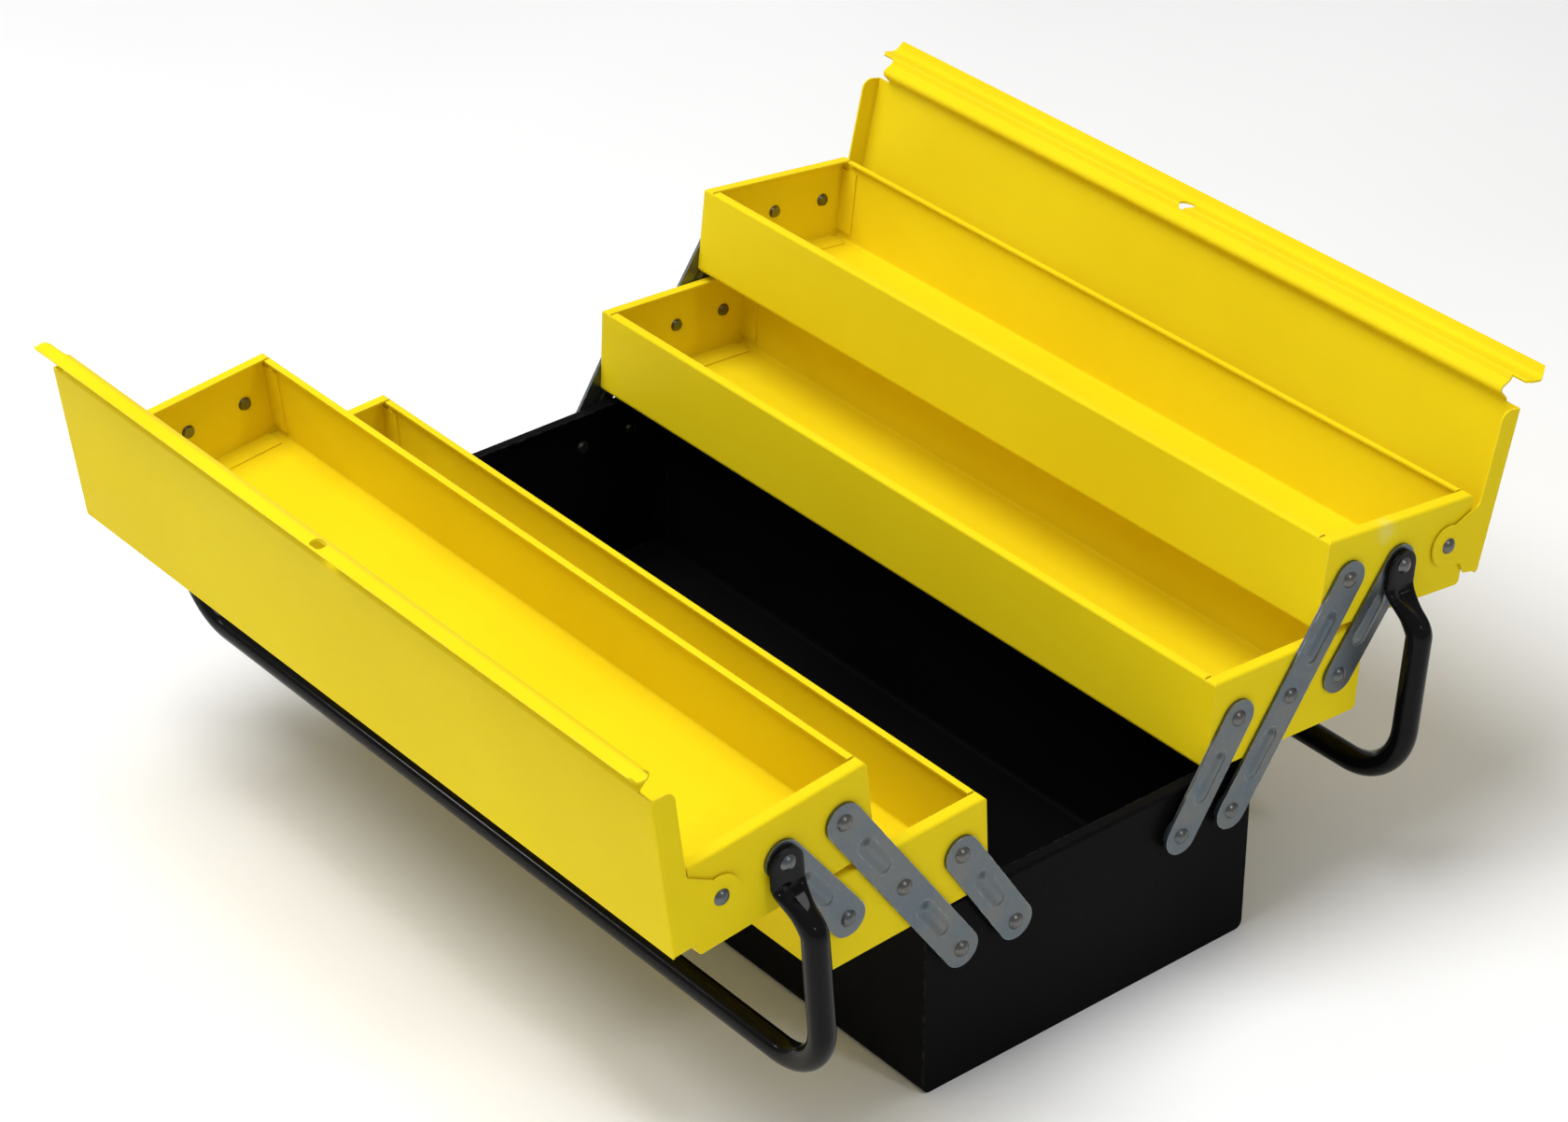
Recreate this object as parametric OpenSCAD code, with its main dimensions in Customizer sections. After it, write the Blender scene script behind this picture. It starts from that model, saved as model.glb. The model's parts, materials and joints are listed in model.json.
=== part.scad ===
// Cantilever tool box: an open base, four swing-out trays on riveted links, two lids
// and two tubular handles. Millimetres. X runs along the box, Y to its rear tray, Z up;
// the origin is the middle of the base's underside. Drawn with the trays swung open.

/* [Base] */
// Length of the base, outside its end panels
base_l = 430; // [360:5:520]
// Width of the base, outside its side walls
base_w = 190; // [170:2:240]
// Height of the base
base_h = 95; // [80:1:140]
// Outside radius of the base's bottom folds
base_bend = 4; // [2:0.5:8]

/* [Trays] */
// How far each tray's end panels stand out past the base's
tray_over = 3; // [2:0.5:8]
// Height of a tray
tray_h = 45; // [38:0.5:60]
// Gap between front and rear trays when closed
tray_gap = 1; // [0.6:0.1:3]
// How far the closed trays stand in from the base's sides
tray_inset = 2.5; // [1:0.5:4]
// Outside radius of a tray's bottom folds
tray_bend = 2.5; // [1.5:0.5:5]
// Air between one closed tray and the tray or base under it
stack_gap = 2.5; // [1.5:0.1:3.5]
// Air between a closed lower tray and the base rim
rim_gap = 2.5; // [0.5:0.1:4]

/* [Sheet metal] */
// Thickness of the painted sheet
sheet_t = 1; // [0.7:0.1:1.5]
// Width of the flange folded inwards along each long rim
rim_w = 4; // [2.5:0.1:4.4]
// Outside radius of the folds along the rims
rim_bend = 1.6; // [1.6:0.1:2.4]
// Depth of the flange on top of each end panel
end_flange = 6; // [4:0.5:10]
// Relief slot between an end flange and a long rim
corner_gap = 1.3; // [0.6:0.1:3]
// Length of the welded tabs behind each end panel
end_tab = 11; // [6:0.5:16]

/* [Pivots] */
// Height of a tray's pivots above its underside
pivot_h = 23.5; // [18:0.5:26]
// Distance from a tray's inner wall to its inner pivot
pivot_inset = 15; // [12:0.5:18]
// Distance from an upper tray's outer wall to its lid's hinge
hinge_inset = 13.5; // [12:0.5:15]
// Rivet shank radius
rivet_r = 2.4; // [2:0.1:3]
// Rivet head radius
rivet_head_r = 3.9; // [3.2:0.1:5]
// Rivet head height
rivet_head_h = 2.2; // [1.5:0.1:3]
// Running clearance round a rivet
run_gap = 0.06; // [0.02:0.01:0.1]
// Slack of the loose holes that let the links swing
loose_gap = 0.4; // [0.35:0.05:0.8]
// Side play between stacked pieces
side_gap = 0.1; // [0.05:0.05:0.3]

/* [Links] */
// Link width
link_w = 18; // [14:0.5:22]
// Link thickness
link_t = 1.6; // [1.2:0.1:2.5]
// Length of a stamped bead
bead_l = 24; // [14:1:30]
// Height of a stamped bead
bead_h = 0.9; // [0.5:0.1:1.5]
// Radius of the bead's section
bead_r = 5; // [3:0.1:7]

/* [Open pose] */
// Swing of the open links beyond the mirror of their closed angle, degrees
open_extra = 0.9; // [0:0.1:3]
// Outward droop of an open lower tray, degrees
lower_droop = 3; // [1:0.5:5]
// Outward droop of an open upper tray, degrees
upper_droop = 6.6; // [3:0.2:8]
// Outward lean of the open front lid, degrees
front_lean = 7; // [4:0.5:16]
// Outward lean of the open rear lid, degrees
rear_lean = 13.5; // [4:0.5:16]
// Inward lean of a hanging handle, degrees
handle_lean = 4.5; // [0:0.5:6]

/* [Lids] */
// How far a lid stands out past its tray's outer wall
lid_over = 3.5; // [1:0.5:4.5]
// Room between a swinging lid and its tray's outer rim
lid_room = 0.3; // [0.2:0.1:1.5]
// Depth of a lid's end flanges
lid_flange = 11; // [8:0.5:13]
// Room between a lid's flange and the end panel
lid_side_gap = 0.6; // [0.3:0.1:2]
// Radius of the ear round the hinge rivet
ear_r = 10; // [8:0.5:12]
// Depth of the trough in front of the lip
lip_trough = 6; // [4:0.5:7]
// Height of the rear lip above the lid's face
rear_lip_h = 11.4; // [10:0.2:16]
// Reach of the rear lip's ledge past its wall
rear_lip_reach = 6; // [4.5:0.1:8]
// Height of the front lip, which closes under the rear one
front_lip_h = 7.6; // [6:0.2:9]
// Reach of the front lip's ledge past its wall
front_lip_reach = 2.6; // [2:0.1:3.4]
// Room between the two closed lips' walls
lip_gap = 4.4; // [4:0.2:8]
// How far the lip's ends stand out past the end flanges
lip_ends = 1; // [0:0.5:4]
// Padlock hole radius
lock_r = 4; // [3:0.5:5]

/* [Handles] */
// Handle tube diameter
tube_d = 12; // [10:0.1:16]
// Pivot to grip, centre to centre
handle_drop = 107; // [95:1:120]
// Room from the end panel to the tube's middle
handle_out = 18.5; // [16:0.5:26]
// Middle radius of the grip's corners
grip_bend = 30; // [20:1:36]
// Width of the flattened tube end
flat_w = 17; // [14:0.5:20]
// Thickness of the flattened tube end
flat_t = 2.6; // [1.8:0.1:3.5]
// Height of the flattened end above its pivot
flat_top = 7; // [5:0.5:8]
// Length of the flattened end below its pivot
flat_l = 10; // [8:0.5:18]
// Length of the crimp between flattened end and tube
crimp_l = 20; // [18:0.5:32]

/* [Hidden] */
$fn = 48;
eps = 0.01;
fit_gap = 0.02;
yellow = [0.93, 0.80, 0.08];
black = [0.06, 0.06, 0.07];
zinc = [0.62, 0.66, 0.70];
steel = [0.55, 0.52, 0.50];

// Trays measure outwards from their inner wall and upwards from their underside
tray_l = base_l + 2 * tray_over;
tray_w = (base_w - tray_gap) / 2 - tray_inset;
in_y = pivot_inset;
hinge_y = tray_w - hinge_inset;
pivot_pitch = (hinge_y - in_y) / 2;
mid_y = in_y + pivot_pitch;

// The long link swings between leaning in, closed, and leaning out, open
shut_y = tray_gap / 2 + mid_y;
step_z = tray_h + stack_gap;
step_l = norm([pivot_pitch, step_z]);
open_ang = atan2(pivot_pitch, step_z) + open_extra;

// Places of the pivots on the rear side, as [y, z]
A1 = [shut_y + pivot_pitch, base_h + rim_gap + pivot_h - step_z];
open_step = step_l * [sin(open_ang), cos(open_ang)];
M_open = A1 + open_step;
T_open = M_open + open_step;
M_shut = A1 + [-pivot_pitch, step_z];
T_shut = M_shut + [-pivot_pitch, step_z];
low_dir = [cos(lower_droop), -sin(lower_droop)];
top_dir = [cos(upper_droop), -sin(upper_droop)];

// The inner link's base pivot is where its length is the same open and closed
I_open = M_open - pivot_pitch * low_dir;
I_shut = M_shut - [pivot_pitch, 0];
A2 = [
    (I_open * I_open - I_shut * I_shut - 2 * A1.y * (I_open.y - I_shut.y))
        / (2 * (I_open.x - I_shut.x)),
    A1.y
];
inner_l = norm(I_open - A2);
inner_ang = atan2(I_open.x - A2.x, I_open.y - A2.y);

// The outer link's tray pivot is found the same way, measured from the middle pivot
H_open = T_open + pivot_pitch * top_dir;
G_open = H_open - M_open;
G_shut = T_shut + [pivot_pitch, 0] - M_shut;
out_pitch = (G_open * G_open - G_shut * G_shut) / (2 * (G_open * low_dir - G_shut.x));
out_y = mid_y + out_pitch;
P_open = M_open + out_pitch * low_dir;
outer_l = norm(H_open - P_open);
outer_ang = atan2(H_open.x - P_open.x, H_open.y - P_open.y);

// Stack of pieces outside an end panel
link_x = tray_l / 2 + side_gap;
head_x = link_x + link_t + side_gap;
pin_head_x = head_x + flat_t + side_gap;
spacer_r = 6.5;
tail_h = 1.4;

// Lids measure inwards from their outer edge (s) and upwards from their face (t)
lid_y = tray_w + lid_over;
rim_reach = rim_bend + norm([hinge_inset - rim_bend, tray_h - pivot_h - rim_bend]);
lid_z = pivot_h + rim_reach + lid_room + sheet_t;
lid_half = tray_l / 2 + lid_side_gap + sheet_t;
hinge = [lid_y - hinge_y, lid_z - pivot_h];
lip_wall = lid_y + tray_gap / 2 - lip_gap / 2;
lip_half = lid_half + lip_ends;
trough_s = lip_wall - 13;
trough_half = tray_l / 2 - end_flange - 1;
lock_t = 2.2;

// Handle, hanging straight down from its pivot
leg_x = tray_l / 2 + handle_out;

function arc(c, r, a0, a1, n = 8) =
    [for (i = [0 : n]) c + r * [cos(a0 + (a1 - a0) * i / n), sin(a0 + (a1 - a0) * i / n)]];

function unit(v) = v / norm(v);

// Point i of path p, moved sideways by d along the corner's bisector
function beside(p, d, i) =
    let (after = unit(p[min(i, len(p) - 2) + 1] - p[min(i, len(p) - 2)]),
         before = unit(p[max(i, 1)] - p[max(i, 1) - 1]),
         mean = unit(after + before))
    p[i] + d * [-mean.y, mean.x] / (mean * after);

// Sheet of thickness t that follows a path
module strip(p, t) {
    left = [for (i = [0 : len(p) - 1]) beside(p, t / 2, i)];
    right = [for (i = [len(p) - 1 : -1 : 0]) beside(p, -t / 2, i)];
    polygon(concat(left, right));
}

// Extrudes a [y, z] profile along X, centred
module along_x(l) {
    rotate([90, 0, 90])
        linear_extrude(l, center = true)
            children();
}

// Extrudes a [y, z] profile by t along X, from x on
module slab_x(x, t) {
    translate([x, 0, 0])
        rotate([90, 0, 90])
            linear_extrude(t)
                children();
}

module rod_x(x, r, l) {
    translate([x, 0, 0])
        rotate([0, 90, 0])
            cylinder(r = r, h = l);
}

module at_end(left) {
    mirror([left ? 1 : 0, 0, 0])
        children();
}

module both_ends() {
    for (left = [false, true])
        at_end(left)
            children();
}

module on_side(front) {
    mirror([0, front ? 1 : 0, 0])
        children();
}

module both_sides() {
    for (front = [false, true])
        on_side(front)
            children();
}

// Rectangle with corner radius low at the bottom and high at the top
module round_box(w, h, low, high) {
    translate([low, 0])
        square([w - 2 * low, h / 2]);
    translate([high, h / 2])
        square([w - 2 * high, h / 2]);
    translate([0, low])
        square([w, h - low - high]);
    for (y = [low, w - low])
        translate([y, low])
            circle(low);
    for (y = [high, w - high])
        translate([y, h - high])
            circle(high);
}

// Section of a trough with a flange folded inwards along each rim
module trough_profile(w, h, bend) {
    difference() {
        round_box(w, h, bend, rim_bend);
        translate([sheet_t, sheet_t])
            round_box(w - 2 * sheet_t, h - 2 * sheet_t, bend - sheet_t, rim_bend - sheet_t);
        translate([rim_w, h - 2 * sheet_t])
            square([w - 2 * rim_w, 3 * sheet_t]);
    }
}

// Folded trough between two end panels, whose rims stop short of the end flanges
module trough(l, w, h, bend) {
    notch = end_flange + corner_gap;
    difference() {
        along_x(l - 2 * sheet_t)
            trough_profile(w, h, bend);
        both_ends()
            translate([l / 2 - notch, -1, h - sheet_t])
                cube([notch + 1, w + 2, 2 * sheet_t]);
        both_ends()
            translate([l / 2 - notch, 1.5 * sheet_t, h - 2 * sheet_t])
                cube([notch + 1, w - 3 * sheet_t, 2 * sheet_t]);
    }
}

// Section of an end panel: a plate folded over into a flange, measured inwards and up
module end_profile(h) {
    difference() {
        union() {
            square([end_flange, h - rim_bend]);
            translate([rim_bend, 0])
                square([end_flange - rim_bend, h]);
            translate([rim_bend, h - rim_bend])
                circle(rim_bend);
        }
        translate([sheet_t, -1])
            square([end_flange, h - rim_bend + 1]);
        translate([rim_bend, -1])
            square([end_flange, h - sheet_t + 1]);
        translate([rim_bend, h - rim_bend])
            circle(rim_bend - sheet_t);
    }
}

// Outline of an end panel, its top corners rounded off like the rims beside them
module end_outline(w, h, bend) {
    r = rim_bend;
    round_box(w, h - r, bend, eps);
    polygon(concat(
        [[0, h / 2], [w, h / 2]],
        arc([w - r, h - r], r, 0, 90, 4),
        arc([r, h - r], r, 90, 180, 4)
    ));
}

// End panel with a flange on top and welded tabs inside; each hole is [y, z, radius]
module end_panel(l, w, h, bend, holes) {
    x = l / 2 - sheet_t;
    tab_z = bend + 3 * sheet_t;
    difference() {
        union() {
            intersection() {
                translate([l / 2, w, 0])
                    mirror([1, 0, 0])
                        rotate([90, 0, 0])
                            linear_extrude(w)
                                end_profile(h);
                slab_x(l / 2 - end_flange - 1, end_flange + 2)
                    end_outline(w, h, bend);
            }
            for (y = [sheet_t, w - 2 * sheet_t])
                translate([x - end_tab, y, tab_z])
                    cube([end_tab, sheet_t, h - end_flange - tab_z]);
            translate([x - end_tab, tab_z, sheet_t])
                cube([end_tab, w - 2 * tab_z, sheet_t]);
        }
        for (p = holes)
            translate([0, p.x, p.y])
                rod_x(x - 1, p.z, sheet_t + 2);
    }
}

// Rivet through a panel whose outer face is at x0: a tail inside, a shank, and a
// domed head from x1 out
module rivet(x0, x1) {
    dome_r = (rivet_head_r * rivet_head_r + rivet_head_h * rivet_head_h)
        / (2 * rivet_head_h);
    tail_x = x0 - sheet_t - fit_gap;
    rod_x(tail_x - eps, rivet_r, x1 - tail_x + 2 * eps);
    translate([tail_x - tail_h, 0, 0])
        rotate([0, 90, 0])
            cylinder(r1 = rivet_r + 0.3, r2 = rivet_r + 1, h = tail_h);
    translate([x1, 0, 0])
        rotate([0, 90, 0])
            rotate_extrude()
                intersection() {
                    translate([0, rivet_head_h - dome_r])
                        circle(dome_r);
                    square([rivet_head_r, rivet_head_h]);
                }
}

module rivets(points, x0, x1) {
    both_ends()
        for (p = points)
            translate([0, p.x, p.y])
                rivet(x0, x1);
}

// Section of a stamped bead of height h that rises from z = 0
module bead_section(half, h) {
    intersection() {
        translate([0, h - bead_r])
            circle(bead_r);
        translate([-half, 0])
            square([2 * half, h]);
    }
}

function bead_half(h) = sqrt(bead_r * bead_r - (bead_r - h) * (bead_r - h));

// Long bead along Y with domed ends
module bead(h) {
    half = bead_half(h);
    waist = h - 0.12;
    run = bead_l - 2 * bead_half(bead_h);
    rotate([90, 0, 0])
        linear_extrude(run, center = true)
            bead_section(bead_half(waist), waist);
    for (y = [-run / 2, run / 2])
        translate([0, y, 0])
            rotate([0, 0, 90])
                rotate_extrude()
                    intersection() {
                        bead_section(half, h);
                        square([half, h]);
                    }
}

// Link along Y from the origin; each hole is [y, radius], each bead a place on Y
module link(l, holes, beads) {
    difference() {
        union() {
            for (y = [0, l])
                translate([0, y, 0])
                    cylinder(r = link_w / 2, h = link_t);
            translate([-link_w / 2, 0, 0])
                cube([link_w, l, link_t]);
            for (y = beads)
                translate([0, y, link_t])
                    bead(bead_h);
        }
        for (y = beads)
            translate([0, y, 0])
                bead(bead_h - 0.25);
        for (p = holes)
            translate([0, p.x, -1])
                cylinder(r = p.y, h = link_t + 2);
    }
}

// Stands a link against the end panels, from pivot p and leaning outwards
module stand_link(p, lean) {
    translate([link_x, p.x, p.y])
        rotate([-lean, 0, 0])
            rotate([90, 0, 90])
                children();
}

module long_link() {
    run_r = rivet_r + run_gap;
    stand_link(A1, open_ang)
        link(2 * step_l, [[0, run_r], [step_l, run_r], [2 * step_l, run_r]],
            [step_l / 2, 3 * step_l / 2]);
}

module inner_link() {
    stand_link(A2, inner_ang)
        link(inner_l, [[0, rivet_r + loose_gap], [inner_l, rivet_r + run_gap]],
            [inner_l / 2]);
}

module outer_link() {
    stand_link(P_open, outer_ang)
        link(outer_l, [[0, rivet_r + run_gap], [outer_l, rivet_r + fit_gap]],
            [outer_l / 2]);
}

// Puts a tray that is drawn from its inner lower corner on the pivot at p
module tilt_tray(p, pivot_y, droop) {
    translate([0, p.x, p.y])
        rotate([-droop, 0, 0])
            translate([0, -pivot_y, -pivot_h])
                children();
}

module lower_place() {
    tilt_tray(M_open, mid_y, lower_droop)
        children();
}

module upper_place() {
    tilt_tray(T_open, in_y, upper_droop)
        children();
}

module base_place() {
    translate([0, -base_w / 2, 0])
        children();
}

module tray_trough() {
    trough(tray_l, tray_w, tray_h, tray_bend);
}

module lower_end() {
    r = rivet_r + fit_gap;
    end_panel(tray_l, tray_w, tray_h, tray_bend,
        [[in_y, pivot_h, r], [mid_y, pivot_h, r], [out_y, pivot_h, r]]);
}

module upper_end() {
    end_panel(tray_l, tray_w, tray_h, tray_bend, [
        [in_y, pivot_h, rivet_r + fit_gap],
        [mid_y, pivot_h, rivet_r + loose_gap],
        [hinge_y, pivot_h, rivet_r + fit_gap]
    ]);
}

module lower_rivet_set() {
    rivets([[in_y, pivot_h], [mid_y, pivot_h], [out_y, pivot_h]], tray_l / 2, head_x);
}

module upper_rivet_set() {
    rivets([[in_y, pivot_h]], tray_l / 2, head_x);
    rivets([[hinge_y, pivot_h]], tray_l / 2, lid_half + side_gap);
}

module base_end() {
    c = base_w / 2;
    r = rivet_r + fit_gap;
    end_panel(base_l, base_w, base_h, base_bend,
        [for (p = [A1, A2], s = [-1, 1]) [c + s * p.x, p.y, r]]);
}

module base_rivet_set() {
    both_sides()
        rivets([A1, A2], base_l / 2, head_x);
}

module spacer_set() {
    spacer_t = link_x - side_gap - base_l / 2;
    both_sides()
        both_ends()
            for (p = [A1, A2])
                translate([0, p.x, p.y])
                    difference() {
                        rod_x(base_l / 2, spacer_r, spacer_t);
                        rod_x(base_l / 2 - 1, rivet_r + fit_gap, spacer_t + 2);
                    }
}

// Outline of a lid's end flange with the ear round its hinge, as [s, depth]
function flange_path() =
    let (left = hinge.x - ear_r, neck = hinge.x + 17.5, corner = 5)
    concat(
        [[1.5, sheet_t], [1.5, lid_flange - 1], [left, lid_flange + 4]],
        arc(hinge, ear_r, 180, -12, 16),
        [[neck, lid_flange + 1.4], [neck + 1.2, lid_flange + 0.3],
            [neck + 3, lid_flange]],
        arc([trough_s - corner, lid_flange - corner], corner, 90, 0),
        [[trough_s, sheet_t]]
    );

// Mid-line of the trough in front of the lip
function trough_path() =
    let (half = sheet_t / 2)
    concat(
        arc([trough_s - 0.6, -half - 3], 3, 90, 32, 5),
        arc([lip_wall - 7, 2.1 - lip_trough], 2.1, 205, 315, 8),
        [[lip_wall - 2.8, -1.7]]
    );

// Mid-line of a lip: an upright wall that curls over into a sloping ledge
function lip_path(h, reach, r, slope) =
    let (run = reach - r + r * sin(slope),
         c = [lip_wall + r, h - sheet_t / 2 - r * cos(slope) - run * tan(slope)])
    concat(
        [[lip_wall - 0.6, -0.9], [lip_wall, 0.4]],
        arc(c, r, 180, 90 + slope, 8),
        [[lip_wall + reach, h - sheet_t / 2]]
    );

// Lid, drawn closed in its tray's frame
module lid_body(h, reach, r, slope) {
    panel_end = lid_half - sheet_t - trough_half;
    translate([0, lid_y, lid_z])
        mirror([0, 1, 0])
            difference() {
                union() {
                    along_x(2 * trough_half) {
                        translate([0, -sheet_t])
                            square([trough_s, sheet_t]);
                        translate([0, -2 * sheet_t])
                            square([6, 1.5 * sheet_t]);
                        strip(concat([[trough_s - 4, -sheet_t / 2]], trough_path(),
                            lip_path(h, reach, r, slope)), sheet_t);
                    }
                    both_ends() {
                        translate([trough_half, 0, -sheet_t])
                            cube([panel_end, trough_s, sheet_t]);
                        lip_end(h, reach, r, slope);
                        lid_flange_end();
                    }
                }
                translate([0, lip_wall - 3.5, lock_t])
                    rotate([-90, 0, 0])
                        cylinder(r = lock_r, h = 7);
            }
}

// Stretch of lip past the trough's end, with its corners rounded
module lip_end(h, reach, r, slope) {
    l = lip_half - trough_half;
    intersection() {
        slab_x(trough_half, l)
            strip(lip_path(h, reach, r, slope), sheet_t);
        translate([trough_half, lip_wall - 4, 0])
            rotate([-90, 0, 0])
                linear_extrude(reach + 8)
                    polygon(concat(
                        [[-1, 3], [l - 4, 3], [l, -1]],
                        arc([l - 5, 5 - h], 5, 0, -90),
                        [[-1, -h]]
                    ));
    }
}

module lid_flange_end() {
    slab_x(lid_half - sheet_t, sheet_t)
        difference() {
            polygon([for (p = flange_path()) [p.x, -p.y]]);
            translate([hinge.x, -hinge.y])
                circle(rivet_r + run_gap);
        }
    translate([lid_half - sheet_t, 1.5, -sheet_t])
        intersection() {
            rotate([-90, 0, 0])
                cylinder(r = sheet_t, h = trough_s - 1.5);
            cube([sheet_t, trough_s, sheet_t]);
        }
}

// Swings a lid open from its tray to its lean
module open_lid(lean) {
    upper_place()
        translate([0, hinge_y, pivot_h])
            rotate([upper_droop - lean - 90, 0, 0])
                translate([0, -hinge_y, -pivot_h])
                    children();
}

module lid(front) {
    on_side(front)
        open_lid(front ? front_lean : rear_lean)
            if (front)
                lid_body(front_lip_h, front_lip_reach, 1.6, 25);
            else
                lid_body(rear_lip_h, rear_lip_reach, 4, 20);
}

module pin_pair() {
    translate([0, H_open.x, H_open.y])
        rotate([-handle_lean, 0, 0])
            both_ends()
                rivet(tray_l / 2, pin_head_x);
}

// Slice of the crimped tube: a rounded slab w wide and t thick
module crimp_slice(x, z, w, t) {
    translate([x, 0, z])
        for (y = [t / 2 - w / 2, w / 2 - t / 2])
            translate([0, y, 0])
                cylinder(r = t / 2, h = 0.5, $fn = 32);
}

// One half of the handle: flattened end, crimp, leg and corner, up to the middle
module half_handle() {
    grip_z = grip_bend - handle_drop;
    tube_r = tube_d / 2;
    neck_x = head_x + (leg_x - head_x) * 0.3;
    neck_z = -flat_l - 0.45 * crimp_l;
    leg_z = -flat_l - crimp_l;
    difference() {
        union() {
            translate([0, 0, flat_top - flat_w / 2])
                rod_x(head_x, flat_w / 2, flat_t);
            translate([head_x, -flat_w / 2, -flat_l])
                cube([flat_t, flat_w, flat_l + flat_top - flat_w / 2]);
            hull() {
                translate([head_x, -flat_w / 2, -flat_l])
                    cube([flat_t, flat_w, 0.5]);
                crimp_slice(neck_x, neck_z, flat_w - 1, 0.5 * tube_d);
            }
            hull() {
                crimp_slice(neck_x, neck_z, flat_w - 1, 0.5 * tube_d);
                translate([leg_x, 0, leg_z])
                    cylinder(r = tube_r + 0.05, h = 0.5, $fn = 32);
            }
            translate([leg_x, 0, grip_z])
                cylinder(r = tube_r, h = leg_z - grip_z + 1);
            translate([leg_x - grip_bend, 0, grip_z])
                rotate([-90, 0, 0])
                    rotate_extrude(angle = 90)
                        translate([grip_bend, 0])
                            circle(tube_r);
            translate([0, 0, -handle_drop])
                rod_x(0, tube_r, leg_x - grip_bend);
        }
        rod_x(head_x - 1, rivet_r + run_gap, flat_t + 2);
    }
}

module handle() {
    translate([0, H_open.x, H_open.y])
        rotate([-handle_lean, 0, 0])
            both_ends()
                half_handle();
}

module base_trough() {
    color(black)
        base_place()
            trough(base_l, base_w, base_h, base_bend);
}

module base_end_right() {
    color(black)
        base_place()
            base_end();
}

module base_end_left() {
    color(black)
        at_end(true)
            base_place()
                base_end();
}

module base_spacers() {
    color(zinc)
        spacer_set();
}

module base_rivets() {
    color(steel)
        base_rivet_set();
}

module long_link_rear_right() {
    color(zinc)
        on_side(false)
            at_end(false)
                long_link();
}

module long_link_rear_left() {
    color(zinc)
        on_side(false)
            at_end(true)
                long_link();
}

module inner_link_rear_right() {
    color(zinc)
        on_side(false)
            at_end(false)
                inner_link();
}

module inner_link_rear_left() {
    color(zinc)
        on_side(false)
            at_end(true)
                inner_link();
}

module outer_link_rear_right() {
    color(zinc)
        on_side(false)
            at_end(false)
                outer_link();
}

module outer_link_rear_left() {
    color(zinc)
        on_side(false)
            at_end(true)
                outer_link();
}

module lower_trough_rear() {
    color(yellow)
        on_side(false)
            lower_place()
                tray_trough();
}

module lower_end_rear_right() {
    color(yellow)
        on_side(false)
            at_end(false)
                lower_place()
                    lower_end();
}

module lower_end_rear_left() {
    color(yellow)
        on_side(false)
            at_end(true)
                lower_place()
                    lower_end();
}

module lower_rivets_rear() {
    color(steel)
        on_side(false)
            lower_place()
                lower_rivet_set();
}

module upper_trough_rear() {
    color(yellow)
        on_side(false)
            upper_place()
                tray_trough();
}

module upper_end_rear_right() {
    color(yellow)
        on_side(false)
            at_end(false)
                upper_place()
                    upper_end();
}

module upper_end_rear_left() {
    color(yellow)
        on_side(false)
            at_end(true)
                upper_place()
                    upper_end();
}

module upper_rivets_rear() {
    color(steel)
        on_side(false)
            upper_place()
                upper_rivet_set();
}

module lid_rear() {
    color(yellow)
        lid(false);
}

module handle_pins_rear() {
    color(steel)
        on_side(false)
            pin_pair();
}

module handle_rear() {
    color(black)
        on_side(false)
            handle();
}

module long_link_front_right() {
    color(zinc)
        on_side(true)
            at_end(false)
                long_link();
}

module long_link_front_left() {
    color(zinc)
        on_side(true)
            at_end(true)
                long_link();
}

module inner_link_front_right() {
    color(zinc)
        on_side(true)
            at_end(false)
                inner_link();
}

module inner_link_front_left() {
    color(zinc)
        on_side(true)
            at_end(true)
                inner_link();
}

module outer_link_front_right() {
    color(zinc)
        on_side(true)
            at_end(false)
                outer_link();
}

module outer_link_front_left() {
    color(zinc)
        on_side(true)
            at_end(true)
                outer_link();
}

module lower_trough_front() {
    color(yellow)
        on_side(true)
            lower_place()
                tray_trough();
}

module lower_end_front_right() {
    color(yellow)
        on_side(true)
            at_end(false)
                lower_place()
                    lower_end();
}

module lower_end_front_left() {
    color(yellow)
        on_side(true)
            at_end(true)
                lower_place()
                    lower_end();
}

module lower_rivets_front() {
    color(steel)
        on_side(true)
            lower_place()
                lower_rivet_set();
}

module upper_trough_front() {
    color(yellow)
        on_side(true)
            upper_place()
                tray_trough();
}

module upper_end_front_right() {
    color(yellow)
        on_side(true)
            at_end(false)
                upper_place()
                    upper_end();
}

module upper_end_front_left() {
    color(yellow)
        on_side(true)
            at_end(true)
                upper_place()
                    upper_end();
}

module upper_rivets_front() {
    color(steel)
        on_side(true)
            upper_place()
                upper_rivet_set();
}

module lid_front() {
    color(yellow)
        lid(true);
}

module handle_pins_front() {
    color(steel)
        on_side(true)
            pin_pair();
}

module handle_front() {
    color(black)
        on_side(true)
            handle();
}

base_trough();
base_end_right();
base_end_left();
base_spacers();
base_rivets();
long_link_rear_right();
long_link_rear_left();
inner_link_rear_right();
inner_link_rear_left();
outer_link_rear_right();
outer_link_rear_left();
lower_trough_rear();
lower_end_rear_right();
lower_end_rear_left();
lower_rivets_rear();
upper_trough_rear();
upper_end_rear_right();
upper_end_rear_left();
upper_rivets_rear();
lid_rear();
handle_pins_rear();
handle_rear();
long_link_front_right();
long_link_front_left();
inner_link_front_right();
inner_link_front_left();
outer_link_front_right();
outer_link_front_left();
lower_trough_front();
lower_end_front_right();
lower_end_front_left();
lower_rivets_front();
upper_trough_front();
upper_end_front_right();
upper_end_front_left();
upper_rivets_front();
lid_front();
handle_pins_front();
handle_front();
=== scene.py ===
"""Studio picture of a cantilever tool box that stands open."""

import json
import math

import bmesh
import bpy
from mathutils import Matrix, Vector


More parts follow.
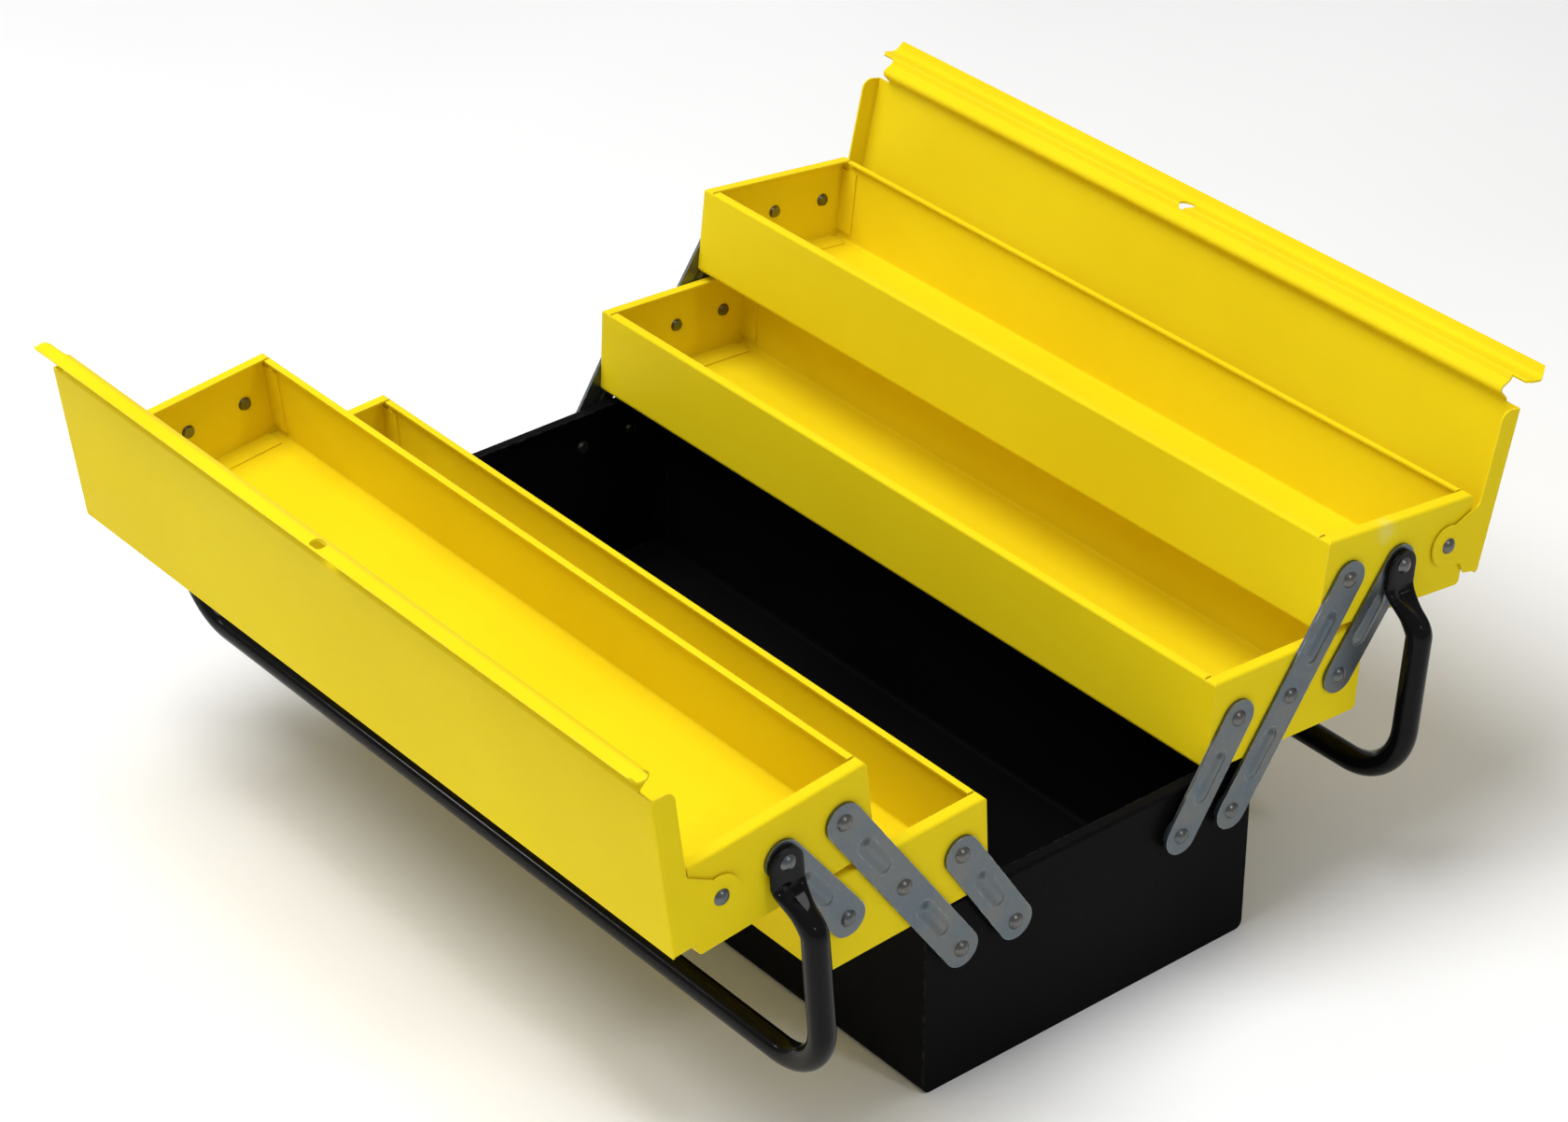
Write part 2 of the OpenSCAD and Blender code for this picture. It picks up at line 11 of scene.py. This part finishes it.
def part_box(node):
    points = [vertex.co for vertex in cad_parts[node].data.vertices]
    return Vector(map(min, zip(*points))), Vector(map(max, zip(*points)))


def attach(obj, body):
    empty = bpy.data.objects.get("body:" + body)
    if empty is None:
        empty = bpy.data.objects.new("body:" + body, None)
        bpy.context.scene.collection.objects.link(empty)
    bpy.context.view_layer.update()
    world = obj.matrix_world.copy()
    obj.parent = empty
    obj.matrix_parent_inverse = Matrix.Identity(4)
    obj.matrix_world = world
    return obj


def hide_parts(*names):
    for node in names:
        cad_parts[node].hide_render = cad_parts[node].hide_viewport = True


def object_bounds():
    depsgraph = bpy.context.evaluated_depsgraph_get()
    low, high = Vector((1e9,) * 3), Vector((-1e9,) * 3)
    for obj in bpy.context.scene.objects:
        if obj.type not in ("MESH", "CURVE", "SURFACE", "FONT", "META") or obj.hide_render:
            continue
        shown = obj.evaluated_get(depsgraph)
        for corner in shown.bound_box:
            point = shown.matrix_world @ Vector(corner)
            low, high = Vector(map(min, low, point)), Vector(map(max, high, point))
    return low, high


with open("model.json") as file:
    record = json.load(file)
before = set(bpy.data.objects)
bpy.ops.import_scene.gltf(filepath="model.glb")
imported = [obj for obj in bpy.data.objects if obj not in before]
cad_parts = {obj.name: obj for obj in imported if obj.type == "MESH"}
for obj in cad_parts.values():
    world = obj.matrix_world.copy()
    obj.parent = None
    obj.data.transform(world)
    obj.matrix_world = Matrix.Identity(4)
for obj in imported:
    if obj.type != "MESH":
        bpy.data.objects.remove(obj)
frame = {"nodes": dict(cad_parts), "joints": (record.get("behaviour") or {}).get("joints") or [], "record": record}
cad_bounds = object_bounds()

MM = 0.001
# Joint pivots in metres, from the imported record
PIVOTS = {joint["name"]: joint["pos_m"] for joint in frame["joints"]}

# Colours of the finishes, as linear RGB

YELLOW = (0.83, 0.655, 0.011)
YELLOW_DARK = (0.80, 0.615, 0.009)
CHALKY = (0.78, 0.70, 0.22)
BLACK = (0.003, 0.003, 0.0035)
BLACK_DRIFT = (0.0045, 0.0045, 0.005)
ZINC = (0.132, 0.145, 0.153)
RIVET = (0.14, 0.135, 0.13)
# Light grey laid along the zinc's edges as a painted highlight
EDGE_HIGHLIGHT_GREY = (0.50, 0.53, 0.55)
COOL_TINT = (0.86, 0.96, 1.04)
WARM_TINT = (1.10, 1.06, 0.98)
FLOOR_LOW = (0.87, 0.87, 0.87)
FLOOR_HIGH = (0.90, 0.90, 0.90)

# Widths of the lightened edges: rubbed paint with a painted highlight on the paint, a painted highlight alone on
# the zinc and rivets
PAINT_EDGE_WEAR_AND_HIGHLIGHT = 0.7 * MM
LINK_EDGE_HIGHLIGHT = 0.5 * MM
RIVET_EDGE_HIGHLIGHT = 0.1 * MM

# Rubbed spots of the yellow paint: one, above the rear handle's pin on the right end panel
SCUFFS = (Vector((218.0, 167.0, 182.5)) * MM,)
SCUFF_REACH = 7.5 * MM
SCUFF_COVER = 0.6

# Sockets of a Mix node for colours
MIX_FACTOR = 0
MIX_A = 6
MIX_B = 7
MIX_RESULT = 2


def new_material(name):
    mat = bpy.data.materials.new(name)
    mat.use_nodes = True
    nodes = mat.node_tree.nodes
    nodes.clear()
    out = nodes.new("ShaderNodeOutputMaterial")
    shader = nodes.new("ShaderNodeBsdfPrincipled")
    mat.node_tree.links.new(shader.outputs["BSDF"], out.inputs["Surface"])
    return mat, mat.node_tree, shader


def noise(tree, cells, detail, stretch=(1.0, 1.0, 1.0)):
    """Noise in the object's own space, with so many cells per metre."""
    coords = tree.nodes.new("ShaderNodeTexCoord")
    mapping = tree.nodes.new("ShaderNodeMapping")
    mapping.inputs["Scale"].default_value = stretch
    tex = tree.nodes.new("ShaderNodeTexNoise")
    tex.inputs["Scale"].default_value = cells
    tex.inputs["Detail"].default_value = detail
    tree.links.new(coords.outputs["Object"], mapping.inputs["Vector"])
    tree.links.new(mapping.outputs["Vector"], tex.inputs["Vector"])
    return tex.outputs["Fac"]


def remap(tree, value, low, high, to_low=0.0, to_high=1.0):
    """Stretches low to high over to_low to to_high, and holds the ends."""
    node = tree.nodes.new("ShaderNodeMapRange")
    node.inputs["From Min"].default_value = low
    node.inputs["From Max"].default_value = high
    node.inputs["To Min"].default_value = to_low
    node.inputs["To Max"].default_value = to_high
    tree.links.new(value, node.inputs["Value"])
    return node.outputs["Result"]


def product(tree, a, b):
    node = tree.nodes.new("ShaderNodeMath")
    node.operation = "MULTIPLY"
    tree.links.new(a, node.inputs[0])
    tree.links.new(b, node.inputs[1])
    return node.outputs["Value"]


def mix_colour(tree, factor, a, b):
    """Colour a where the factor is 0 and b where it is 1; each a socket or a tuple."""
    node = tree.nodes.new("ShaderNodeMix")
    node.data_type = "RGBA"
    for socket, value in ((MIX_A, a), (MIX_B, b)):
        if isinstance(value, tuple):
            node.inputs[socket].default_value = (*value, 1.0)
        else:
            tree.links.new(value, node.inputs[socket])
    tree.links.new(factor, node.inputs[MIX_FACTOR])
    return node.outputs[MIX_RESULT]


def bump(tree, shader, height, strength, depth):
    node = tree.nodes.new("ShaderNodeBump")
    node.inputs["Strength"].default_value = strength
    node.inputs["Distance"].default_value = depth
    tree.links.new(height, node.inputs["Height"])
    tree.links.new(node.outputs["Normal"], shader.inputs["Normal"])


def edge_wear_and_highlight(tree, width):
    """Mask of rubbed paint and painted edge highlights: 1 along folds and cut edges, broken up by noise, and 0
    elsewhere.

    Near an edge the bevelled normal turns away from the true one.
    """
    geometry = tree.nodes.new("ShaderNodeNewGeometry")
    bevel = tree.nodes.new("ShaderNodeBevel")
    bevel.samples = 4
    bevel.inputs["Radius"].default_value = width
    cosine = tree.nodes.new("ShaderNodeVectorMath")
    cosine.operation = "DOT_PRODUCT"
    tree.links.new(geometry.outputs["Normal"], cosine.inputs[0])
    tree.links.new(bevel.outputs["Normal"], cosine.inputs[1])
    edge = remap(tree, cosine.outputs["Value"], 0.995, 0.86)
    spots = remap(tree, noise(tree, cells=210.0, detail=5.0), 0.44, 0.66)
    return product(tree, edge, spots)


def scuff(tree, place):
    """SCUFF_COVER in the middle of one rubbed spot, mottled, fading to 0 around it."""
    coords = tree.nodes.new("ShaderNodeTexCoord")
    gap = tree.nodes.new("ShaderNodeVectorMath")
    gap.operation = "DISTANCE"
    gap.inputs[1].default_value = place
    tree.links.new(coords.outputs["Object"], gap.inputs[0])
    fade = remap(tree, gap.outputs["Value"], SCUFF_REACH, SCUFF_REACH / 4, 0.0, SCUFF_COVER)
    mottle = remap(tree, noise(tree, cells=330.0, detail=4.0), 0.35, 0.6, 0.35, 1.0)
    return product(tree, fade, mottle)


def paint(name, base, dark, rough, peel, specular, scuffs=()):
    """Powder coat: broad tone drift, fine orange peel, edges lightened as rubbed paint and painted highlight, and
    scuffed spots.
    """
    mat, tree, shader = new_material(name)
    drift = remap(tree, noise(tree, cells=9.0, detail=4.0), 0.35, 0.65)
    colour = mix_colour(tree, drift, base, dark)
    # Lighter edges: partly rubbed paint, partly a painted highlight along rims and folds
    rubbed_and_lit = tuple(0.85 * channel + 0.05 for channel in base)
    colour = mix_colour(tree, edge_wear_and_highlight(tree, PAINT_EDGE_WEAR_AND_HIGHLIGHT), colour, rubbed_and_lit)
    for place in scuffs:
        colour = mix_colour(tree, scuff(tree, place), colour, CHALKY)
    tree.links.new(colour, shader.inputs["Base Color"])
    smear = noise(tree, cells=30.0, detail=5.0, stretch=(0.35, 1.0, 1.0))
    roughness = remap(tree, smear, 0.3, 0.7, rough - 0.05, rough + 0.07)
    tree.links.new(roughness, shader.inputs["Roughness"])
    orange_peel = noise(tree, cells=700.0, detail=2.0)
    bump(tree, shader, orange_peel, strength=peel, depth=0.02 * MM)
    shader.inputs["Specular IOR Level"].default_value = specular
    return mat


def zinc_plate(name, base, rough, highlight_width):
    """Bright zinc: fine grain, cloudy tone, a bluish-yellow drift and a painted highlight along the edges."""
    mat, tree, shader = new_material(name)
    cool = tuple(channel * tint for channel, tint in zip(base, COOL_TINT))
    warm = tuple(channel * tint for channel, tint in zip(base, WARM_TINT))
    cloud = remap(tree, noise(tree, cells=70.0, detail=5.0), 0.35, 0.65)
    plate = mix_colour(tree, cloud, cool, warm)
    # Lighter edges: a painted highlight where the cut edges catch the light
    colour = mix_colour(tree, edge_wear_and_highlight(tree, highlight_width), plate, EDGE_HIGHLIGHT_GREY)
    tree.links.new(colour, shader.inputs["Base Color"])
    shader.inputs["Metallic"].default_value = 0.9
    grain = noise(tree, cells=1400.0, detail=3.0, stretch=(1.0, 1.0, 0.2))
    roughness = remap(tree, grain, 0.3, 0.7, rough - 0.07, rough + 0.09)
    tree.links.new(roughness, shader.inputs["Roughness"])
    bump(tree, shader, grain, strength=0.3, depth=0.01 * MM)
    return mat


def floor_material():
    mat, tree, shader = new_material("floor")
    tone = remap(tree, noise(tree, cells=3.0, detail=3.0), 0.3, 0.7)
    tree.links.new(mix_colour(tree, tone, FLOOR_LOW, FLOOR_HIGH), shader.inputs["Base Color"])
    shader.inputs["Roughness"].default_value = 0.85
    bump(tree, shader, noise(tree, cells=400.0, detail=2.0), strength=0.02, depth=0.2 * MM)
    return mat


# The finish of each material slot in the record
MATERIALS = {
    "tray_paint": paint(
        "yellow_powder_coat", YELLOW, YELLOW_DARK, rough=0.40, peel=0.25, specular=0.025,
        scuffs=SCUFFS,
    ),
    "base_paint": paint(
        "black_powder_coat", BLACK, BLACK_DRIFT, rough=0.30, peel=0.2, specular=0.02
    ),
    "handle_paint": paint(
        "black_enamel", BLACK, BLACK_DRIFT, rough=0.12, peel=0.1, specular=0.11
    ),
    "link_zinc": zinc_plate("zinc_plate", ZINC, rough=0.34, highlight_width=LINK_EDGE_HIGHLIGHT),
    "rivet_steel": zinc_plate("rivet_zinc", RIVET, rough=0.3, highlight_width=RIVET_EDGE_HIGHLIGHT),
}

# Meshes. Edges that turn by more than these angles, in degrees, stay crisp

NODE_CREASE = 32.0
LINK_CREASE = 44.0
HANDLE_CREASE = 24.0
BEAD_CREASE = 50.0

# Points round each ring of a lofted piece
AROUND = 72


def smooth_by_angle(obj, degrees):
    """Shades curved walls smooth and keeps folds crisp, without moving a vertex."""
    mesh = obj.data
    mesh.shade_smooth()
    mesh.set_sharp_from_angle(angle=math.radians(degrees))


def dress_nodes():
    """Gives every CAD node the finish of its slot."""
    slots = {part["node"]: part["material_slot"] for part in frame["record"]["subparts"]}
    for name, obj in frame["nodes"].items():
        obj.data.materials.clear()
        obj.data.materials.append(MATERIALS[slots[name]])
        smooth_by_angle(obj, LINK_CREASE if "link" in name else NODE_CREASE)


def close_rings(bm, rings):
    """Skins a row of rings of AROUND points and caps both ends."""
    for low, high in zip(rings, rings[1:]):
        for k in range(AROUND):
            n = (k + 1) % AROUND
            bm.faces.new((low[k], low[n], high[n], high[k]))
    bm.faces.new(rings[0])
    bm.faces.new(rings[-1])
    bmesh.ops.recalc_face_normals(bm, faces=bm.faces)


def finish_piece(name, bm, slot, crease, body):
    """Turns the mesh into a piece that rides on a body, in the finish of a slot."""
    mesh = bpy.data.meshes.new(name)
    bm.to_mesh(mesh)
    bm.free()
    mesh.materials.append(MATERIALS[slot])
    piece = bpy.data.objects.new(name, mesh)
    bpy.context.scene.collection.objects.link(piece)
    smooth_by_angle(piece, crease)
    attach(piece, body)
    return piece


# Handles: one bent tube each, its ends pressed flat, with the creases of the pressing.
# Heights are from the pins, and x is from the box's middle.

TUBE_R = 6.0 * MM
DROP = 107.0 * MM  # pins to the grip's middle line
BEND = 30.0 * MM  # corner radius of the middle line
LEG_X = 236.5 * MM
LEAN = 4.5  # degrees that the hanging handle leans from upright

FLAT_X = 221.1 * MM
FLAT_TOP = 7.0 * MM
FLAT_LOW = -10.0 * MM
FLAT_HALF = 8.5 * MM
FLAT_HALF_T = 1.3 * MM
FLAT_POWER = 5.0  # how square the pressed section is: 2 is an ellipse
ROUND_POWER = 2.0
TOP_STEPS = 12
TOP_ANGLE = 84.0  # where the round top starts, in degrees, short of a point

CRIMP = 20.0 * MM  # length of the change from flat to tube
CRIMP_STEPS = 26
GROOVE = 2.4 * MM  # depth of the crease down the crimp
GROOVE_NARROW = 0.3  # half width of a shallow crease, as a share of the section's
GROOVE_SPREAD = 0.5  # what a full depth adds to that share
# Each measure of the section ends its change after 1 / rate of the crimp
WIDTH_RATE = 1.7
DEPTH_RATE = 1.2
CLIP_RATE = 1.02
POWER_RATE = 1.6
GROOVE_IN_RATE = 4.0
GROOVE_OUT_RATE = 1.15

BEND_STEPS = 20


def ease(t):
    t = max(0.0, min(1.0, t))
    return t * t * (3.0 - 2.0 * t)


def lerp(a, b, t):
    return a + (b - a) * t


def handle_stations():
    """Middle line of one half: (x, z, half width, half depth, clip, power, groove)."""
    flat = (FLAT_HALF_T, FLAT_HALF_T, FLAT_POWER, 0.0)
    tube = (TUBE_R, TUBE_R, TUBE_R, ROUND_POWER, 0.0)
    stations = []
    for i in range(TOP_STEPS + 1):
        angle = math.radians(TOP_ANGLE * (1.0 - i / TOP_STEPS))
        z = FLAT_TOP - FLAT_HALF + FLAT_HALF * math.sin(angle)
        stations.append((FLAT_X, z, FLAT_HALF * math.cos(angle), *flat))
    stations.append((FLAT_X, FLAT_LOW, FLAT_HALF, *flat))
    for i in range(1, CRIMP_STEPS + 1):
        t = i / CRIMP_STEPS
        stations.append(
            (
                lerp(FLAT_X, LEG_X, ease(t)),
                FLAT_LOW - CRIMP * t,
                lerp(FLAT_HALF, TUBE_R, ease(WIDTH_RATE * t)),
                lerp(FLAT_HALF_T, TUBE_R, ease(DEPTH_RATE * t)),
                lerp(FLAT_HALF_T, TUBE_R, ease(CLIP_RATE * t)),
                lerp(FLAT_POWER, ROUND_POWER, ease(POWER_RATE * t)),
                GROOVE * ease(GROOVE_IN_RATE * t) * (1.0 - ease(GROOVE_OUT_RATE * t)),
            )
        )
    stations.append((LEG_X, FLAT_LOW - CRIMP - TUBE_R / 4, *tube))
    for i in range(BEND_STEPS + 1):
        angle = math.radians(90.0 * i / BEND_STEPS)
        x = LEG_X - BEND + BEND * math.cos(angle)
        stations.append((x, -DROP + BEND - BEND * math.sin(angle), *tube))
    stations.append((0.0, -DROP, *tube))
    return stations


def section(a, b, clip, power, groove):
    """Points (across, outwards) of a squared ellipse, cut flat at clip and creased outside."""
    points = []
    reach = a * (GROOVE_NARROW + GROOVE_SPREAD * groove / GROOVE)
    for i in range(AROUND):
        angle = 2.0 * math.pi * i / AROUND
        c, s = math.cos(angle), math.sin(angle)
        across = math.copysign(abs(c) ** (2.0 / power), c) * a
        out = math.copysign(abs(s) ** (2.0 / power), s) * b
        out = max(-clip, min(clip, out))
        if out > 0.0:
            out -= groove * max(0.0, 1.0 - abs(across) / reach)
        points.append((across, out))
    return points


def make_handle(name, body):
    """Lofts a handle round its middle line, and hides the plain one of the CAD."""
    _, pivot_y, pivot_z = PIVOTS[body]
    side = math.copysign(1.0, pivot_y)
    lean = math.radians(LEAN)
    half = handle_stations()
    line = half + [(-x, *rest) for x, *rest in reversed(half[:-1])]
    bm = bmesh.new()
    rings = []
    for i, (x, z, *measures) in enumerate(line):
        x0, z0 = line[max(i - 1, 0)][:2]
        x1, z1 = line[min(i + 1, len(line) - 1)][:2]
        length = math.hypot(x1 - x0, z1 - z0)
        out_x, out_z = -(z1 - z0) / length, (x1 - x0) / length
        ring = []
        for across, out in section(*measures):
            px, pz = x + out * out_x, z + out * out_z
            outward = across * math.cos(lean) + pz * math.sin(lean)
            height = pivot_z - across * math.sin(lean) + pz * math.cos(lean)
            ring.append(bm.verts.new((px, pivot_y + side * outward, height)))
        rings.append(ring)
    close_rings(bm, rings)
    piece = finish_piece(name, bm, "handle_paint", HANDLE_CREASE, body)
    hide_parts(body)


# Links: soft shoulders round the stamped beads, over the plain beads of the CAD

LINK_W = 18.0 * MM
CAD_BEAD = 0.9 * MM  # height of the plain beads
BEAD_REACH = 13.5 * MM  # half length of a shoulder
BEAD_HALF = 4.6 * MM
BEAD_HEIGHT = 1.5 * MM
BEAD_SINK = 0.3 * MM  # how far its foot goes into the link
BEAD_RINGS = 15
# Name of each bead, its link, and its place along the link from the middle
BEADS = (
    ("long_low", "long_link", -0.25),
    ("long_high", "long_link", 0.25),
    ("inner", "inner_link", 0.0),
    ("outer", "outer_link", 0.0),
)


def bead_outline(half, run):
    """Stadium of the given half width round a straight run, as (along, across)."""
    points = []
    for i in range(AROUND):
        angle = 2.0 * math.pi * i / AROUND
        shift = run if math.cos(angle) >= 0.0 else -run
        points.append((shift + half * math.cos(angle), half * math.sin(angle)))
    return points


def make_bead(name, node, body, place):
    """Stacks shrinking stadiums on a link, which lies between the corners of its box."""
    low, high = (Vector(corner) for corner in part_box(node))
    middle = (low + high) / 2.0
    end = math.copysign(1.0, middle.x)
    face = max(abs(low.x), abs(high.x)) - CAD_BEAD
    lean = math.copysign(high.y - low.y - LINK_W, middle.y)
    span = Vector((0.0, lean, high.z - low.z - LINK_W))
    centre = middle + place * span
    along = span.normalized()
    steps = [(1.0, -BEAD_SINK)]
    for i in range(BEAD_RINGS):
        share = 1.0 - i / (BEAD_RINGS - 0.5)
        steps.append((share, BEAD_HEIGHT * math.cos(0.5 * math.pi * share) ** 2))
    bm = bmesh.new()
    rings = []
    for share, height in steps:
        ring = []
        for u, v in bead_outline(share * BEAD_HALF, BEAD_REACH - BEAD_HALF):
            y = centre.y + u * along.y - v * along.z
            z = centre.z + u * along.z + v * along.y
            ring.append(bm.verts.new((end * (face + height), y, z)))
        rings.append(ring)
    close_rings(bm, rings)
    finish_piece(name, bm, "link_zinc", BEAD_CREASE, body)


def make_beads():
    for side in ("rear", "front"):
        for end in ("right", "left"):
            for spot, link, place in BEADS:
                name = f"bead_{spot}_{side}_{end}"
                make_bead(name, f"{link}_{side}_{end}", f"{link}s_{side}", place)


# Camera, fitted to the photograph's edges: lengths in metres, angles in degrees

IMAGE_W = 1680
FOCAL_PX = 4583.97
SENSOR_MM = 36.0
EYE = Vector((1.2874, -1.0480, 1.1625))
AZIMUTH = 50.74
ELEVATION = 31.92
ROLL = -0.06
NEAR = 0.05
FAR = 20.0


def add_camera():
    data = bpy.data.cameras.new("camera")
    data.sensor_fit = "HORIZONTAL"
    data.sensor_width = SENSOR_MM
    data.lens = FOCAL_PX * SENSOR_MM / IMAGE_W
    data.clip_start = NEAR
    data.clip_end = FAR
    camera = bpy.data.objects.new("camera", data)
    az, el = math.radians(AZIMUTH), math.radians(ELEVATION)
    back = Vector((math.sin(az) * math.cos(el), -math.cos(az) * math.cos(el), math.sin(el)))
    right = Vector((math.cos(az), math.sin(az), 0.0))
    up = back.cross(right)
    turn = Matrix((right, up, back)).transposed().to_4x4()
    roll = Matrix.Rotation(math.radians(ROLL), 4, "Z")
    camera.matrix_world = Matrix.Translation(EYE) @ turn @ roll
    bpy.context.scene.collection.objects.link(camera)
    bpy.context.scene.camera = camera


# Studio: a pale floor and a white world, lit from above, with two small lights for gloss

WHITE = (1.0, 1.0, 1.0, 1.0)
WORLD_STRENGTH = 0.4
FLOOR_HALF = 6.0
# Name, place, target, width in metres and power in watts
LIGHTS = (
    ("key", (-0.35, -0.8, 2.55), (0.0, 0.0, 0.1), 1.9, 66.0),
    ("fill", (-1.7, -1.7, 1.1), (0.0, 0.0, 0.1), 0.24, 3.0),
    ("kicker", (2.1, 0.3, 1.7), (0.2, 0.0, 0.1), 0.35, 7.0),
)


def area_light(name, place, target, size, power):
    data = bpy.data.lights.new(name, "AREA")
    data.shape = "DISK"
    data.size = size
    data.energy = power
    light = bpy.data.objects.new(name, data)
    light.location = place
    aim = Vector(target) - Vector(place)
    light.rotation_euler = aim.to_track_quat("-Z", "Y").to_euler()
    bpy.context.scene.collection.objects.link(light)


def add_floor():
    mesh = bpy.data.meshes.new("floor")
    corners = [
        (-FLOOR_HALF, -FLOOR_HALF, 0.0),
        (FLOOR_HALF, -FLOOR_HALF, 0.0),
        (FLOOR_HALF, FLOOR_HALF, 0.0),
        (-FLOOR_HALF, FLOOR_HALF, 0.0),
    ]
    mesh.from_pydata(corners, [], [(0, 1, 2, 3)])
    mesh.materials.append(floor_material())
    floor = bpy.data.objects.new("floor", mesh)
    floor.location.z = cad_bounds[0][2]
    bpy.context.scene.collection.objects.link(floor)


def add_studio():
    world = bpy.data.worlds.new("studio")
    world.use_nodes = True
    background = world.node_tree.nodes["Background"]
    background.inputs["Color"].default_value = WHITE
    background.inputs["Strength"].default_value = WORLD_STRENGTH
    bpy.context.scene.world = world
    # The plain transform keeps the paint as saturated as the photograph has it
    bpy.context.scene.view_settings.view_transform = "Standard"
    for light in LIGHTS:
        area_light(*light)
    add_floor()


add_camera()
dress_nodes()
make_handle("bent_handle_rear", "handle_rear")
make_handle("bent_handle_front", "handle_front")
make_beads()
add_studio()
